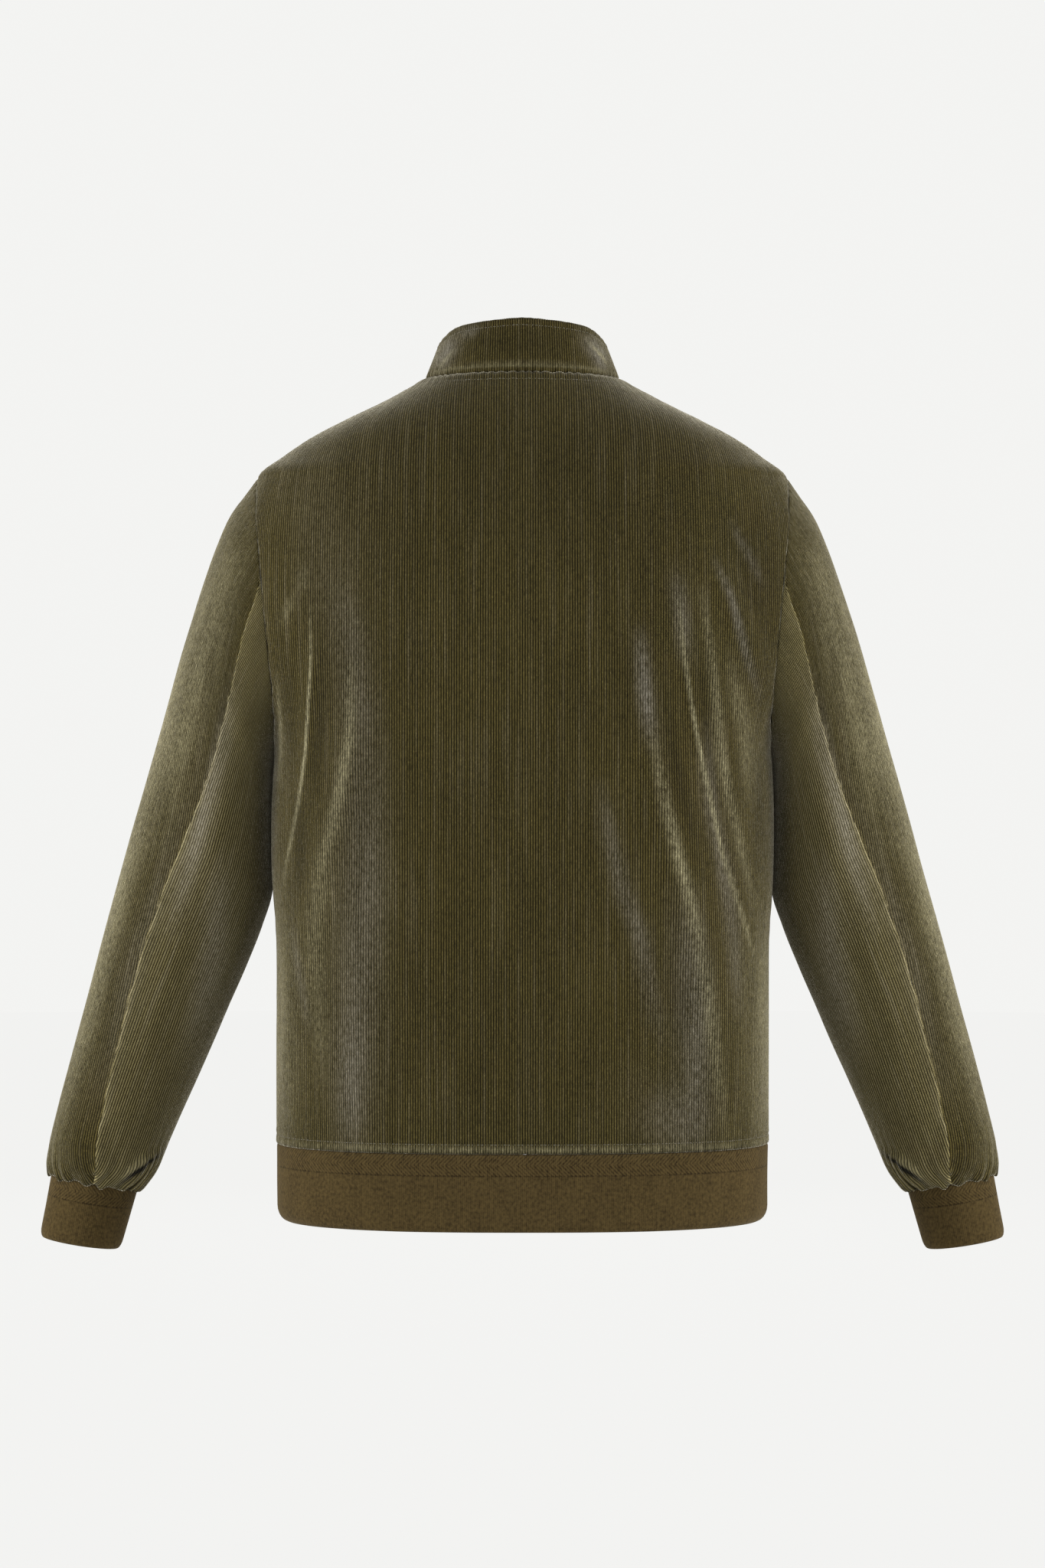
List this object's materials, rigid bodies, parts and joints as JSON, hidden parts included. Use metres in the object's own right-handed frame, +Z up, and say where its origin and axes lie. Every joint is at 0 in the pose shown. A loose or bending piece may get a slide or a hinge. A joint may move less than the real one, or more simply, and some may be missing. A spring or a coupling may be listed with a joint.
{
  "type": "corduroy zip jacket",
  "caption": "Hollow corduroy jacket as if worn, with a stand collar, set-in sleeves, knitted hem and cuffs, and a zip whose pull tab swings.",
  "frame": {"origin": "centre of the neck opening at the height of the collar seam at the centre back", "axes": "+Z up along the wearer's neck, -Y out of the jacket's front, +X to the wearer's left"},
  "size_m": [0.8056, 0.264, 0.7686],
  "materials": {
    "corduroy": "ribbed olive-brown pile with a soft sheen",
    "rib_knit": "matt fine rib knit",
    "zip_tape": "matt woven tape",
    "zip_metal": "dark antique brass"
  },
  "bodies": {
    "jacket": {"back": "corduroy", "left_front": "corduroy", "right_front": "corduroy", "left_upper_sleeve": "corduroy", "right_upper_sleeve": "corduroy", "left_under_sleeve": "corduroy", "right_under_sleeve": "corduroy", "collar": "corduroy", "hem_rib": "rib_knit", "left_cuff": "rib_knit", "right_cuff": "rib_knit", "left_zip_tape": "zip_tape", "right_zip_tape": "zip_tape", "zip_chain": "zip_metal", "zip_box": "zip_metal", "zip_slider": "zip_metal"},
    "pull_tab": {"pull_tab": "zip_metal"}
  },
  "joints": [
    {"name": "pull_tab_swing", "type": "hinge", "parent": "jacket", "child": "pull_tab", "pos_m": [0, -0.09254, -0.04292], "axis": [-1, 0, 0], "range_deg": [0, 165]}
  ]
}
